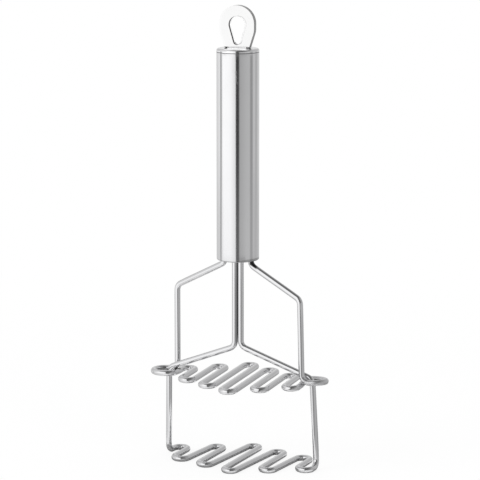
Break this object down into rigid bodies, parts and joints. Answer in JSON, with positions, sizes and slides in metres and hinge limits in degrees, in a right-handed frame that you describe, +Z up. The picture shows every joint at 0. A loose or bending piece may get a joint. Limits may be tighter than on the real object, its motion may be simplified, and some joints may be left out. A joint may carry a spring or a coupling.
{
  "type": "potato masher",
  "caption": "Spring-loaded double-grid potato masher: a wavy wire grid slides up under a fixed one on a round steel handle with a clear hanging loop.",
  "frame": {"origin": "on the handle's axis, at the level that the lower grid stands on", "axes": "+Z up the handle towards the hanging loop, +X along the row of bends, +Y away from the front bends"},
  "size_m": [0.1083, 0.0718, 0.2612],
  "materials": {
    "handle_steel": "satin",
    "cap_steel": "satin",
    "wire_steel": "polished",
    "fitting_steel": "plain",
    "spring_steel": "plain",
    "clear_plastic": "clear, smooth",
    "white_plastic": "plain",
    "grey_plastic": "plain"
  },
  "bodies": {
    "handle": {"handle_tube": "handle_steel", "end_cap": "cap_steel", "hanging_loop": "clear_plastic", "spring_stop": "white_plastic", "return_spring": "spring_steel", "guide_bush": "grey_plastic", "bottom_disc": "fitting_steel", "anchor_collar_left": "fitting_steel", "anchor_collar_right": "fitting_steel", "upper_masher": "wire_steel"},
    "sliding_grid": {"lower_masher": "wire_steel", "slider": "white_plastic", "rod_ferrule": "fitting_steel", "spring_washer": "fitting_steel"}
  },
  "joints": [
    {"name": "grid_slide", "type": "slide", "parent": "handle", "child": "sliding_grid", "axis": [0, 0, 1], "range_m": [0, 0.042], "stiffness_N_per_m": 560, "springref_m": -0.02, "deforming": ["return_spring"]}
  ]
}
